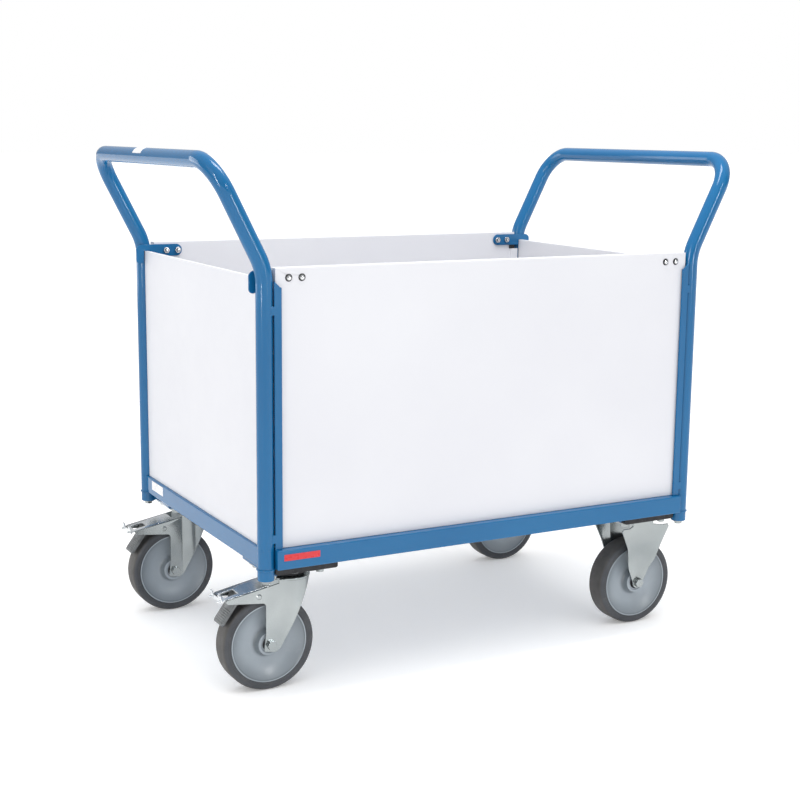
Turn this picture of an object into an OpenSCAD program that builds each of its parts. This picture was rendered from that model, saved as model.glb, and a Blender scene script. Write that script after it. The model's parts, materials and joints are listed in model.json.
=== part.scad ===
// Four-wheeled box trolley: welded tube base, plug-in bent handles, end boards,
// lift-out side boards hung on hook brackets, two braked swivel castors, two fixed castors.
// Millimetres. X along the length (swivel castors at -X), Y across, Z up, floor at Z = 0.

/* [Base frame] */
// Length over the two end rails
frame_l = 1054; // [700:2:1600]
// Width over the two long rails
frame_w = 764; // [500:2:1000]
// Height of the rail tops above the floor
rail_top = 315; // [280:1:450]
// Height of the rail section
rail_h = 40; // [25:1:60]
// Width of the rail section
rail_w = 50; // [35:1:80]
// Wall of the rail section
rail_wall = 3; // [2:0.5:5]
// Diameter of the drain holes under the rails
drain_d = 9; // [5:1:14]
// Outer face of the end rail to the middle of the corner post
post_in = 9; // [0:1:20]
// Outer face of the long rail to the middle of the corner post
post_in_y = 25.5; // [20:0.5:32]
// Length of the corner post below the rails
post_drop = 23; // [10:1:40]
// Length of the corner post inside the handle tube
post_spigot = 90; // [40:5:160]
// Wall of the corner post
post_wall = 2.5; // [2:0.5:5]
// Thickness of the plug closing the bottom of the post
post_plug = 5; // [3:1:10]
// Diameter of the washer under the post
post_washer_d = 28; // [20:1:34]
// Thickness of that washer
post_washer_t = 2; // [1:0.5:4]
// Across corners of the bolt head under the post
post_head_d = 19; // [14:1:24]
// Height of that bolt head
post_head_h = 6.5; // [4:0.5:10]
// Diameter of the post bolt
post_bolt_d = 10; // [8:1:14]
// Length of the post bolt inside the post
post_bolt_l = 30; // [15:1:60]

/* [Handles] */
// Outer diameter of the handle tube
tube_d = 34; // [28:1:42]
// Wall of the handle tube
tube_wall = 2; // [1.5:0.5:4]
// Height of the middle of the kink in the leg
kink_z = 869; // [700:1:1000]
// Lean of the upper leg outward from the vertical
lean = 27; // [0:1:40]
// Centre-line radius of the kink
kink_r = 110; // [60:5:200]
// Height of the middle of the grip bar
grip_z = 1075; // [950:1:1250]
// Centre-line radius of the two grip corners
grip_r = 70; // [45:1:110]
// Diameter of the vent holes under the grip bar
vent_d = 6; // [3:1:9]
// Distance between the two vent holes
vent_gap = 520; // [200:10:560]

/* [Boards] */
// Thickness of the long side boards
side_t = 26; // [15:1:32]
// Height of the top of the long side boards
side_top = 871; // [600:1:1000]
// Gap from the hook plates to the handle tubes
hook_gap = 0.5; // [0.3:0.1:3]
// Gap from the end of the side board to the handle tube
side_end_gap = 3; // [1:0.5:8]
// Thickness of the lip that closes the corner inside the handle tube
lip_t = 3; // [2:0.5:5]
// Lap of the lip on the side board
lip_lap = 12; // [6:1:30]
// Gap between the top of the lip and the hook plate
lip_gap = 10; // [2:1:20]
// Thickness of the end boards
end_t = 10; // [8:1:20]
// Top of the end boards below the top of the side boards
end_drop = 20; // [10:1:60]
// Ledge of rail left outside the end board
end_ledge = 6; // [2:1:15]
// Gap from the side of the end board to the handle tube
end_side_gap = 1; // [0.5:0.5:4]
// Thickness of the deck board
deck_t = 12; // [9:1:21]
// Gap round the deck board
deck_gap = 1; // [0.5:0.5:4]

/* [Retaining strips] */
// Width of a retaining strip
strip_w = 15.5; // [12:0.5:35]
// Thickness of a retaining strip
strip_t = 5; // [3:1:8]
// Top of the strips below the top of the side boards
strip_drop = 24; // [10:1:60]
// Size of the cut corner at the top of a strip
strip_cut = 13; // [5:1:20]
// Reach of a strip past the side of the handle tube
strip_lap = 2; // [0:0.5:3]
// Gap from the side board to the strips
strip_gap = 2; // [1:0.5:5]
// Height of a weld tab
tab_h = 17; // [10:1:30]
// Middle of the upper weld tab below the strip top
tab_upper = 57; // [30:1:90]
// Middle of the lower weld tab above the rail
tab_lower = 22; // [12:1:60]

/* [Hook brackets] */
// Thickness of the hook plate
hook_t = 4; // [3:0.5:6]
// Height of the hook plate
hook_h = 28; // [20:1:40]
// Middle of the bolts below the top of the side board
hook_drop = 19; // [14:1:40]
// Length of the hook finger below the notch
finger_l = 30; // [15:1:50]
// Width of the hook finger
finger_w = 18; // [10:1:24]
// Gap from the finger to the outer face of the end board
finger_gap = 3; // [1:0.5:6]
// End of the side board to the outer coach bolt
hook_bolt_in = 28; // [20:1:50]
// Distance between the two coach bolts
hook_pitch = 28; // [20:1:45]
// Diameter of the coach bolt
coach_d = 8; // [6:1:10]
// Diameter of the domed head
dome_d = 15.5; // [12:0.5:22]
// Height of the domed head
dome_h = 4; // [2:0.5:6]
// Across corners of the nut
coach_nut_d = 15; // [11:0.5:19]
// Thickness of the nut
coach_nut_t = 6.5; // [4:0.5:9]

/* [End board lugs] */
// Height of a lug
lug_h = 30; // [15:1:50]
// Thickness of a lug
lug_t = 3; // [2:0.5:5]
// Reach of a lug from the tube along the end board
lug_l = 36; // [20:1:60]
// Height of the lower lugs above the rail
lug_low = 105; // [60:5:200]
// Depth of the upper lugs below the end board top
lug_high = 91; // [60:5:200]
// Part of a lug that lies behind the tube
lug_root = 14; // [8:1:20]
// Free end of a lug to its screw
lug_hole = 10; // [6:1:16]
// Diameter of the lug screw head
screw_d = 9; // [6:1:12]

/* [Deck bearers and castor channels] */
// Width of a deck bearer
bearer_w = 34; // [20:1:50]
// Wall of a deck bearer
bearer_wall = 2.5; // [2:0.5:4]
// Width of a castor channel
chan_w = 153; // [140:1:190]
// Length of a castor channel
chan_l = 134; // [115:1:170]
// Depth of a castor channel below the rails
chan_h = 17; // [10:1:35]
// Sheet thickness of a castor channel
chan_t = 3; // [2:0.5:5]
// Rounding of the channel folds
chan_r = 6; // [3.5:0.5:10]
// Outer end of the channel inside the front of the rail
chan_in = 22; // [5:1:40]
// Gap round the corner post where a channel is notched for it
post_clear = 1.5; // [0.5:0.5:5]

/* [Castors] */
// Middle of the truck to the swivel axis and to the fixed axle
castor_x = 438; // [300:1:700]
// Middle of the truck to the castor centre plane
castor_y = 285; // [180:1:420]
// Diameter of the wheels
wheel_d = 200; // [160:1:220]
// Width of the tyre
tyre_w = 50; // [35:1:60]
// Radial thickness of the tyre
tyre_t = 17; // [10:1:30]
// Rounding of the tyre shoulders
tyre_r = 8; // [3:0.5:12]
// Length of the mounting plate
plate_l = 135; // [110:1:150]
// Width of the mounting plate
plate_w = 110; // [85:1:125]
// Thickness of the mounting plate
plate_t = 6; // [3:0.5:8]
// Bolt spacing along the plate
plate_bx = 105; // [90:1:120]
// Bolt spacing across the plate
plate_by = 84; // [65:1:100]
// Diameter of the plate bolts
plate_bolt_d = 10; // [8:1:12]
// Across corners of the plate bolt heads and nuts
plate_head_d = 18; // [14:1:22]
// Thickness of the plate bolt heads and nuts
plate_head_h = 8; // [5:0.5:9]
// Horizontal distance from the swivel axis to the wheel axle
trail = 53; // [30:1:65]
// Sheet thickness of the forks
fork_t = 3.5; // [2.5:0.5:5]
// Half width inside the forks
fork_in = 30.5; // [24:0.5:40]
// Radius of the swivel crown
crown_r = 44; // [38:1:50]
// Thickness of the swivel crown plate
crown_t = 4; // [3:0.5:6]
// Radius of the upper ball race
race_r = 37; // [30:1:42]
// Depth of the upper ball race
race_h = 8; // [4:1:10]
// Diameter of the balls in the swivel head
ball_d = 7; // [5:0.5:10]
// Number of balls in the swivel head
ball_n = 18; // [10:1:24]
// Diameter of the king bolt
king_d = 12; // [10:1:16]
// Across corners of the king nut
king_nut_d = 21; // [17:1:26]
// Thickness of the king nut
king_nut_t = 9; // [6:1:12]
// Width of the fork leg beside the axle
leg_w = 27; // [22:1:40]
// Radius of the foot of a swivel fork leg
foot_r = 17; // [14:1:22]
// Step of the foot outward from the rear edge of the leg
foot_kick = 4; // [0:0.5:8]
// Length of the fork arms behind the swivel axis
arm_l = 150; // [120:1:170]
// Height of the underside of the fork arms
arm_under = 190; // [175:1:215]
// Height of the fork arm at its tip
arm_h = 9; // [6:1:20]
// Slope of the fork arm and pedal
arm_slope = 10.5; // [0:0.5:20]
// Half width of the flat face of a fixed fork leg
fixed_flat = 29; // [20:1:40]
// Width of the sloping side of a fixed fork leg, from the flat face to the raised wing
wing_w = 17; // [8:1:24]
// Outward rise of the wings of a fixed fork leg
wing_out = 11; // [4:1:16]
// Outward lean of a fixed fork leg
fixed_lean = 5; // [0:0.5:8]
// Axle diameter
axle_d = 12; // [8:1:16]
// Across corners of the axle head and nut
axle_head_d = 21; // [16:1:26]
// Height of the axle head and nut
axle_head_h = 8; // [5:0.5:12]
// Radius of the wheel hub boss
hub_r = 25; // [18:1:32]
// Radius of the wheel bearing
bearing_r = 16; // [12:1:20]
// Half thickness of the wheel web
web_t = 8; // [4:1:14]
// Radial thickness of the rim flange
rim_t = 6; // [4:1:12]

/* [Brake] */
// Distance from the swivel axis back to the brake pivot
brake_x = 79; // [65:1:95]
// Height of the brake pivot
brake_z = 205; // [196:1:225]
// Diameter of the brake pivot pin
pin_d = 8; // [5:1:10]
// Sheet thickness of the pedal
pedal_t = 3; // [2:0.5:5]
// Height of the pedal sheet above the pivot
pedal_rise = 12; // [8:1:20]
// Length of the pedal behind the pivot
pedal_l = 76; // [50:1:90]
// Length of the pedal in front of the pivot
pedal_f = 29; // [12:1:32]
// Height of the turned-up tip of the pedal
tip_h = 11; // [5:1:18]
// Length of the slot in the pedal
slot_l = 30; // [15:1:40]
// Width of the slot in the pedal
slot_w = 30; // [15:1:40]
// Width of the brake pad plate
pad_w = 46; // [30:1:52]
// Length of the brake pad plate below its line of contact
pad_down = 19; // [12:1:25]
// Length of the brake pad plate above its line of contact
pad_up = 60; // [30:1:80]
// Thickness of the brake pad plate
pad_t = 5; // [3:0.5:7]
// Rounding of the corners of the brake pad plate
pad_r = 7; // [3:1:10]
// Gap from the pad to the tread when the brake is off
pad_gap = 9.5; // [5:0.5:14]
// Direction of the pad above the horizontal, from the axle
pad_ang = 36; // [20:1:50]

/* [Plain labels] */
// Length of the label on the long rails
label_l = 78; // [40:1:120]
// Height of the label on the long rails
label_h = 13; // [8:1:30]
// Length of the label on the left end rail
plate_label_l = 76; // [40:1:120]
// Height of the label on the left end rail
plate_label_h = 21; // [10:1:30]
// Width of the label band on the left grip
grip_label_l = 52; // [10:1:80]
// Thickness of every label
label_t = 0.5; // [0.3:0.1:1]

/* [Fits] */
// Gap between a lift-out board and what it stands on
lift_gap = 0.3; // [0.2:0.1:1]
// Radial gap of turning parts on their pins
run_gap = 0.1; // [0.05:0.05:0.3]
// Radial gap of the handle tube on the post
plug_gap = 0.05; // [0.02:0.01:0.2]
// Side gap between turning parts
side_gap = 0.4; // [0.3:0.1:1]

/* [Hidden] */
$fn = 64;
eps = 0.01;
tube_r = tube_d / 2;
tube_bore_r = tube_r - tube_wall;
post_r = tube_bore_r - plug_gap;
post_x = frame_l / 2 - post_in;
post_y = frame_w / 2 - post_in_y;
rail_bot = rail_top - rail_h;
post_bot = rail_bot - post_drop;
long_end = post_x - tube_r + 2;
end_in = frame_l / 2 - rail_w;
long_in = frame_w / 2 - rail_w;

grip_x = post_x + (grip_z - kink_z) * tan(lean);
kink_back = kink_r * tan(lean / 2);
leg_len = (grip_z - kink_z) / cos(lean);

side_in = post_y - tube_r - hook_gap;
side_out = side_in + side_t;
side_half = post_x - tube_r - side_end_gap;
side_bot = rail_top + lift_gap;
end_top = side_top - end_drop;
end_out = frame_l / 2 - end_ledge;
end_half = post_y - tube_r - end_side_gap;
deck_bot = rail_top - deck_t;

strip_y = side_out + strip_gap;
strip_top = side_top - strip_drop;
strip_x1 = post_x - tube_r + strip_lap;
strip_x0 = strip_x1 - strip_w;

hook_z = side_top - hook_drop;
lip_top = hook_z - hook_h / 2 - lip_gap;
lip_end = end_out - end_t - lug_t - side_gap;
hook_y = side_in;
notch_top = end_top + lift_gap;
notch_in = end_out - end_t - 1.5;
finger_x0 = end_out + finger_gap;
finger_x1 = finger_x0 + finger_w;
bolt_x1 = side_half - hook_bolt_in;
bolt_x0 = bolt_x1 - hook_pitch;

chan_bot = rail_bot - chan_h;
plate_top = chan_bot;
plate_bot = plate_top - plate_t;
race_bot = plate_bot - race_h;
crown_top = race_bot - ball_d;
crown_bot = crown_top - crown_t;
wheel_r = wheel_d / 2;
rim_r = wheel_r - tyre_t;
fork_out = fork_in + fork_t;
hub_half = fork_in - side_gap;

blue = [0.16, 0.42, 0.66];
zinc = [0.78, 0.79, 0.80];
board = [0.95, 0.95, 0.97];

// ---------- helpers ----------
module four() {
    for (sx = [-1, 1])
        for (sy = [-1, 1])
            mirror([sx < 0 ? 1 : 0, 0, 0])
                mirror([0, sy < 0 ? 1 : 0, 0])
                    children();
}

module hex(d, h) {
    cylinder(d = d, h = h, $fn = 6);
}

module posts_cut(r) {
    four()
        translate([post_x, post_y, post_bot - 5])
            cylinder(r = r, h = rail_top);
}

// ---------- base frame ----------
module long_rail(side) {
    color(blue)
        difference() {
            translate([-long_end, side > 0 ? long_in : -frame_w / 2, rail_bot])
                cube([2 * long_end, rail_w, rail_h]);
            translate([-long_end + rail_wall + 4, (side > 0 ? long_in : -frame_w / 2) + rail_wall,
                    rail_bot + rail_wall])
                cube([2 * (long_end - rail_wall - 4), rail_w - 2 * rail_wall, rail_h - 2 * rail_wall]);
            posts_cut(tube_r);
            for (x = [-1, 1])
                translate([x * long_end * 0.6, side * (frame_w / 2 - rail_w / 2), rail_bot - 1])
                    cylinder(d = drain_d, h = rail_wall + 2);
        }
}

module end_rail(side) {
    color(blue)
        difference() {
            translate([side > 0 ? end_in : -frame_l / 2, -long_in - 12, rail_bot])
                cube([rail_w, 2 * long_in + 24, rail_h]);
            translate([(side > 0 ? end_in : -frame_l / 2) + rail_wall, -long_in + 6, rail_bot + rail_wall])
                cube([rail_w - 2 * rail_wall, 2 * long_in - 12, rail_h - 2 * rail_wall]);
            for (sy = [-1, 1])
                translate([-long_end, sy > 0 ? long_in : -frame_w / 2, rail_bot - 1])
                    cube([2 * long_end, rail_w, rail_h + 2]);
            posts_cut(tube_r);
            for (y = [-1, 1])
                translate([side * (frame_l / 2 - rail_w / 2), y * long_in * 0.35, rail_bot - 1])
                    cylinder(d = drain_d, h = rail_wall + 2);
        }
}

module corner_posts() {
    color(blue)
        four()
            translate([post_x, post_y, post_bot])
                difference() {
                    union() {
                        cylinder(r = tube_r, h = rail_top - post_bot);
                        cylinder(r = post_r, h = rail_top - post_bot + post_spigot);
                    }
                    translate([0, 0, post_plug])
                        cylinder(r = post_r - post_wall, h = rail_top - post_bot + post_spigot);
                    translate([0, 0, -1])
                        cylinder(d = post_bolt_d, h = post_plug + 2);
                }
}

module post_bolts() {
    color(zinc)
        four()
            translate([post_x, post_y, 0]) {
                translate([0, 0, post_bot - post_washer_t])
                    cylinder(d = post_washer_d, h = post_washer_t);
                translate([0, 0, post_bot - post_washer_t - post_head_h])
                    intersection() {
                        hex(post_head_d, post_head_h);
                        translate([0, 0, post_head_h + 2])
                            sphere(r = post_head_h + 5);
                    }
                translate([0, 0, post_bot - post_washer_t - 1])
                    cylinder(d = post_bolt_d - 0.02, h = post_bolt_l);
            }
}

bearer_h = deck_bot - rail_bot;
bearer_x = [-1, 0, 1] * (castor_x - chan_w / 2 + chan_t / 2);

module deck_bearers() {
    color(blue)
        for (x = bearer_x)
            difference() {
                translate([x - bearer_w / 2, -long_in, rail_bot])
                    cube([bearer_w, 2 * long_in, bearer_h]);
                translate([x - bearer_w / 2 + bearer_wall, -long_in - 1, rail_bot + bearer_wall])
                    cube([bearer_w - 2 * bearer_wall, 2 * long_in + 2, bearer_h - 2 * bearer_wall]);
            }
}

module deck_board() {
    color([0.80, 0.72, 0.58])
        difference() {
            translate([-end_in + deck_gap, -long_in + deck_gap, deck_bot])
                cube([2 * (end_in - deck_gap), 2 * (long_in - deck_gap), deck_t]);
            deck_screw_points() {
                translate([0, 0, deck_bot - 1])
                    cylinder(d = screw_d / 2, h = deck_t + 2);
                translate([0, 0, rail_top - screw_d / 4])
                    cylinder(d1 = screw_d / 2, d2 = screw_d, h = screw_d / 4);
            }
        }
}

module deck_screw_points() {
    for (x = bearer_x)
        for (y = [-0.86, -0.3, 0.3, 0.86])
            translate([x, y * long_in, 0])
                children();
}

module deck_screws() {
    color(zinc)
        deck_screw_points() {
            translate([0, 0, deck_bot])
                cylinder(d = screw_d / 2 - 0.02, h = deck_t - screw_d / 4);
            translate([0, 0, rail_top - screw_d / 4])
                cylinder(d1 = screw_d / 2, d2 = screw_d - 0.02, h = screw_d / 4);
        }
}

module castor_channels() {
    y0 = frame_w / 2 - chan_in - chan_l;
    color(blue)
        four()
            difference() {
                translate([castor_x, y0 + chan_l, chan_bot])
                    rotate([90, 0, 0])
                        linear_extrude(chan_l)
                            chan_section();
                for (x = [-1, 1])
                    for (y = [-1, 1])
                        translate([castor_x + x * plate_bx / 2, castor_y + y * plate_by / 2, chan_bot - 1])
                            cylinder(d = plate_bolt_d, h = chan_t + 2);
                translate([post_x, post_y, 0])
                    cylinder(r = tube_r + post_clear, h = rail_top);
            }
}

module chan_section() {
    w = chan_w / 2;
    difference() {
        union() {
            translate([-w, chan_r])
                square([chan_w, chan_h - chan_r]);
            translate([-w + chan_r, 0])
                square([chan_w - 2 * chan_r, chan_r + eps]);
            for (s = [-1, 1])
                translate([s * (w - chan_r), chan_r])
                    circle(r = chan_r, $fn = 32);
        }
        translate([-w + chan_t, chan_r])
            square([chan_w - 2 * chan_t, chan_h]);
        translate([-w + chan_r, chan_t])
            square([chan_w - 2 * chan_r, chan_h]);
        for (s = [-1, 1])
            translate([s * (w - chan_r), chan_r])
                circle(r = chan_r - chan_t, $fn = 32);
    }
}

module plate_points() {
    for (x = [-1, 1])
        for (y = [-1, 1])
            translate([x * plate_bx / 2, y * plate_by / 2, 0])
                children();
}

module all_castors() {
    for (sx = [-1, 1])
        for (sy = [-1, 1])
            translate([sx * castor_x, sy * castor_y, 0])
                children();
}

module castor_bolts() {
    color(zinc)
        all_castors()
            plate_points() {
                translate([0, 0, plate_bot - plate_head_h])
                    hex(plate_head_d, plate_head_h);
                translate([0, 0, plate_bot - 1])
                    cylinder(d = plate_bolt_d - 0.02, h = plate_t + chan_t + plate_head_h + 4);
            }
}

module castor_nuts() {
    color(zinc)
        all_castors()
            plate_points()
                translate([0, 0, chan_bot + chan_t])
                    difference() {
                        hex(plate_head_d, plate_head_h);
                        translate([0, 0, -1])
                            cylinder(d = plate_bolt_d, h = plate_head_h + 2);
                    }
}

// ---------- handles ----------
// One half of the bent tube, from the post up to the middle of the grip bar.
module tube_ring() {
    difference() {
        circle(r = tube_r);
        circle(r = tube_bore_r);
    }
}

module half_path() {
    // upright
    translate([post_x, post_y, rail_top])
        linear_extrude(kink_z - kink_back - rail_top)
            tube_ring();
    // kink
    translate([post_x + kink_r, post_y, kink_z - kink_back])
        rotate([90, 0, 0])
            mirror([1, 0, 0])
                rotate_extrude(angle = lean)
                    translate([kink_r, 0])
                        tube_ring();
    // leaning leg, grip corner and half of the grip bar
    translate([post_x, post_y, kink_z])
        rotate([0, lean, 0]) {
            translate([0, 0, kink_back])
                linear_extrude(leg_len - kink_back - grip_r)
                    tube_ring();
            translate([0, -grip_r, leg_len - grip_r])
                rotate([0, -90, 0])
                    rotate_extrude(angle = 90)
                        translate([grip_r, 0])
                            tube_ring();
            translate([0, -grip_r, leg_len])
                rotate([90, 0, 0])
                    linear_extrude(post_y - grip_r)
                        tube_ring();
        }
}

module handle(side) {
    mirror([side < 0 ? 1 : 0, 0, 0])
        difference() {
            union() {
                half_path();
                mirror([0, 1, 0])
                    half_path();
            }
            for (y = [-1, 1])
                translate([grip_x, y * vent_gap / 2, grip_z - tube_r - 1])
                    cylinder(d = vent_d, h = tube_wall + 3);
        }
}

module handle_left() {
    color(blue)
        handle(-1);
}

module handle_right() {
    color(blue)
        handle(1);
}

module retaining_strips() {
    color(blue)
        four()
            difference() {
                union() {
                    translate([0, strip_y + strip_t, 0])
                        rotate([90, 0, 0])
                            linear_extrude(strip_t)
                                polygon([[strip_x0, rail_top], [strip_x1, rail_top], [strip_x1, strip_top],
                                    [strip_x0 + strip_cut / 4, strip_top - strip_cut + 1],
                                    [strip_x0, strip_top - strip_cut]]);
                    for (z = [rail_top + tab_lower, strip_top - tab_upper])
                        translate([strip_x1 - 1, strip_y, z - tab_h / 2])
                            cube([tube_r, strip_t, tab_h]);
                }
                translate([post_x, post_y, rail_top - 1])
                    cylinder(r = tube_r, h = strip_top);
                translate([post_x - 1, strip_y - 1, rail_top - 1])
                    cube([tube_r + 5, strip_t + 2, strip_top]);
            }
}

// ---------- boards ----------
module end_board(side) {
    color(board)
        difference() {
            translate([side > 0 ? end_out - end_t : -end_out, -end_half, rail_top])
                cube([end_t, 2 * end_half, end_top - rail_top]);
            four()
                for (z = lug_zs)
                    translate([end_out - end_t - 1, lug_y, z])
                        rotate([0, 90, 0])
                            cylinder(d = screw_d / 2, h = end_t / 2 + 1);
        }
}

module end_board_left() {
    end_board(-1);
}

module end_board_right() {
    end_board(1);
}

lug_zs = [rail_top + lug_low, end_top - lug_high];
lug_y0 = post_y - tube_r + lug_root - lug_l;
lug_y = lug_y0 + lug_hole;

module end_lugs() {
    color(blue)
        four()
            for (z = lug_zs)
                difference() {
                    translate([end_out - end_t - lug_t, lug_y0, z - lug_h / 2])
                        cube([lug_t, lug_l, lug_h]);
                    translate([post_x, post_y, z - lug_h])
                        cylinder(r = tube_r, h = 2 * lug_h);
                    translate([0, lug_y, z])
                        rotate([0, 90, 0])
                            cylinder(d = screw_d / 2, h = frame_l);
                }
}

module lug_screws() {
    color(zinc)
        four()
            for (z = lug_zs)
                translate([end_out - end_t, lug_y, z]) {
                    translate([-lug_t, 0, 0])
                        rotate([0, 90, 0])
                            cylinder(d = screw_d / 2 - 0.02, h = lug_t + end_t / 2);
                    translate([-lug_t, 0, 0])
                        rotate([0, -90, 0])
                            cylinder(d1 = screw_d, d2 = screw_d * 0.55, h = 2.5);
                }
}

module side_board() {
    color(board)
        difference() {
            union() {
                translate([-side_half, side_in, side_bot])
                    cube([2 * side_half, side_t, side_top - side_bot]);
                for (s = [-1, 1])
                    translate([s > 0 ? side_half - lip_lap : -lip_end, side_in - lip_t, side_bot])
                        cube([lip_end - side_half + lip_lap, lip_t, lip_top - side_bot]);
            }
            side_bolt_points()
                translate([0, side_out + 1, 0])
                    rotate([90, 0, 0])
                        cylinder(d = coach_d, h = side_t + 2);
        }
}

module side_bolt_points() {
    for (s = [-1, 1])
        for (x = [bolt_x0, bolt_x1])
            translate([s * x, 0, hook_z])
                children();
}

module hook_plate() {
    r = hook_h / 2;
    x0 = bolt_x0 - r + 3;
    difference() {
        union() {
            translate([x0 + r, hook_z])
                circle(r = r);
            translate([x0 + r, hook_z - r])
                square([notch_in - x0 - r, hook_h]);
            translate([x0 + r, notch_top])
                square([finger_x1 - x0 - 2 * r, hook_z + r - notch_top]);
            translate([finger_x1 - r, notch_top])
                intersection() {
                    circle(r = hook_z + r - notch_top);
                    square([r, r]);
                }
            translate([finger_x0, notch_top - finger_l + finger_w / 2])
                square([finger_w, finger_l - finger_w / 2 + eps]);
            translate([finger_x0 + finger_w / 2, notch_top - finger_l + finger_w / 2])
                circle(d = finger_w);
        }
        for (x = [bolt_x0, bolt_x1])
            translate([x, hook_z])
                circle(d = coach_d, $fn = 32);
    }
}

module side_hooks() {
    color(blue)
        for (s = [0, 1])
            mirror([s, 0, 0])
                translate([0, hook_y, 0])
                    rotate([90, 0, 0])
                        linear_extrude(hook_t)
                            hook_plate();
}

module side_bolts() {
    r = (dome_d * dome_d / 4 + dome_h * dome_h) / (2 * dome_h);
    color(zinc)
        side_bolt_points() {
            translate([0, side_out + 1, 0])
                rotate([90, 0, 0])
                    cylinder(d = coach_d - 0.02, h = side_t + hook_t + coach_nut_t + 4);
            translate([0, side_out, 0])
                rotate([-90, 0, 0])
                    intersection() {
                        translate([0, 0, dome_h - r])
                            sphere(r = r);
                        cylinder(d = dome_d, h = dome_h);
                    }
        }
}

module side_nuts() {
    color(zinc)
        side_bolt_points()
            translate([0, hook_y - hook_t, 0])
                rotate([90, 0, 0])
                    difference() {
                        hex(coach_nut_d, coach_nut_t);
                        translate([0, 0, -1])
                            cylinder(d = coach_d, h = coach_nut_t + 2);
                    }
}

module front() {
    mirror([0, 1, 0])
        children();
}

// ---------- castors ----------
// Castor parts are drawn round their own swivel axis or axle plane.
module swivel_at(side) {
    translate([-castor_x, side * castor_y, 0])
        children();
}

module fixed_at(side) {
    translate([castor_x, side * castor_y, 0])
        children();
}

module mount_plate() {
    difference() {
        translate([0, 0, plate_bot])
            linear_extrude(plate_t)
                difference() {
                    union() {
                        square([plate_l, plate_w - 20], center = true);
                        square([plate_l - 20, plate_w], center = true);
                        for (x = [-1, 1])
                            for (y = [-1, 1])
                                translate([x * (plate_l / 2 - 10), y * (plate_w / 2 - 10)])
                                    circle(r = 10, $fn = 32);
                    }
                }
        plate_points()
            translate([0, 0, plate_bot - 1])
                cylinder(d = plate_bolt_d, h = plate_t + 2);
    }
}

module swivel_plate() {
    color(zinc)
        difference() {
            union() {
                mount_plate();
                translate([0, 0, race_bot])
                    cylinder(r = race_r, h = race_h + eps);
            }
            translate([0, 0, race_bot - 1])
                cylinder(d = king_d, h = race_h + plate_t + 2);
            translate([0, 0, race_bot - ball_d / 2 + 1.2])
                rotate_extrude()
                    translate([race_r - 8, 0])
                        circle(d = ball_d + 2 * run_gap, $fn = 32);
        }
}

module ball_ring() {
    color([0.30, 0.31, 0.32])
        for (i = [0:ball_n - 1])
            rotate([0, 0, i * 360 / ball_n])
                translate([race_r - 8, 0, race_bot - ball_d / 2 + 1.2])
                    sphere(d = ball_d, $fn = 32);
}

module king_bolt() {
    color(zinc) {
        translate([0, 0, crown_bot - king_nut_t - 3])
            cylinder(d = king_d - 0.02, h = plate_top - crown_bot + king_nut_t + 3 - 0.3);
        translate([0, 0, crown_bot - king_nut_t - side_gap])
            hex(king_nut_d, king_nut_t);
    }
}

// Points along an arc, counter-clockwise when a1 > a0.
function arc(cx, cy, r, a0, a1, n) = [for (i = [0:n])
    [cx + r * cos(a0 + (a1 - a0) * i / n), cy + r * sin(a0 + (a1 - a0) * i / n)]];

// Plan section of one fork sheet: straight leg and arm, then wrapped round the crown.
module fork_section() {
    b = leg_fold();
    d = sqrt(b * b + fork_out * fork_out);
    a = 180 + atan2(fork_out, b) + acos(crown_r / d);
    polygon(concat([[-arm_l - 2, -fork_out], [-b, -fork_out]], arc(0, 0, crown_r, a, 330, 14),
        arc(0, 0, crown_r - fork_t, 330, a, 14), [[-b, -fork_in], [-arm_l - 2, -fork_in]]));
}

// Distance from the swivel axis back to where the fork leg starts to wrap round the crown.
function leg_fold() = trail - leg_w / 2 - 2.5;

// Side outline of the swivel fork in X and Z.
module fork_outline() {
    lx = -leg_fold() - leg_w;
    tip = arm_under + 8;
    polygon(concat([[crown_r - 8, crown_top + 1], [-leg_fold() + 2, crown_top + 1],
            [-leg_fold() + 2, tip + arm_h + (arm_l - leg_fold()) * tan(arm_slope)],
            [-arm_l + 2, tip + arm_h], [-arm_l, tip + arm_h * 0.6], [-arm_l + 4, tip]],
        arc(lx - 8, arm_under - 8, 8, 90, 0, 8),
        [[lx, wheel_r + foot_r + 8]],
        arc(lx - foot_kick + 4, wheel_r - foot_r + 7, 4, 170, 240, 4),
        arc(lx + foot_r, wheel_r, foot_r, 275, 335, 6),
        [[14, arm_under - 4], [crown_r - 9, crown_top - 6]]));
}

module fork() {
    color(zinc)
        difference() {
            union() {
                for (s = [0, 1])
                    mirror([0, s, 0])
                        intersection() {
                            translate([0, 0, wheel_r - 30])
                                linear_extrude(crown_top - 1.5 - wheel_r + 30)
                                    fork_section();
                            translate([0, -20, 0])
                                rotate([90, 0, 0])
                                    linear_extrude(40)
                                        fork_outline();
                        }
                translate([0, 0, crown_bot])
                    cylinder(r = crown_r + 1, h = crown_t);
            }
            translate([-trail, 100, wheel_r])
                rotate([90, 0, 0])
                    cylinder(d = axle_d, h = 200);
            translate([-brake_x, 100, brake_z])
                rotate([90, 0, 0])
                    cylinder(d = pin_d, h = 200);
            translate([0, 0, crown_bot - 1])
                cylinder(d = king_d + 2 * run_gap, h = crown_t + 2);
            translate([0, 0, race_bot - ball_d / 2 + 1.2])
                rotate_extrude()
                    translate([race_r - 8, 0])
                        circle(d = ball_d + 2 * run_gap + 0.4, $fn = 32);
        }
}

module axle_at(x) {
    translate([x, 0, wheel_r])
        children();
}

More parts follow.
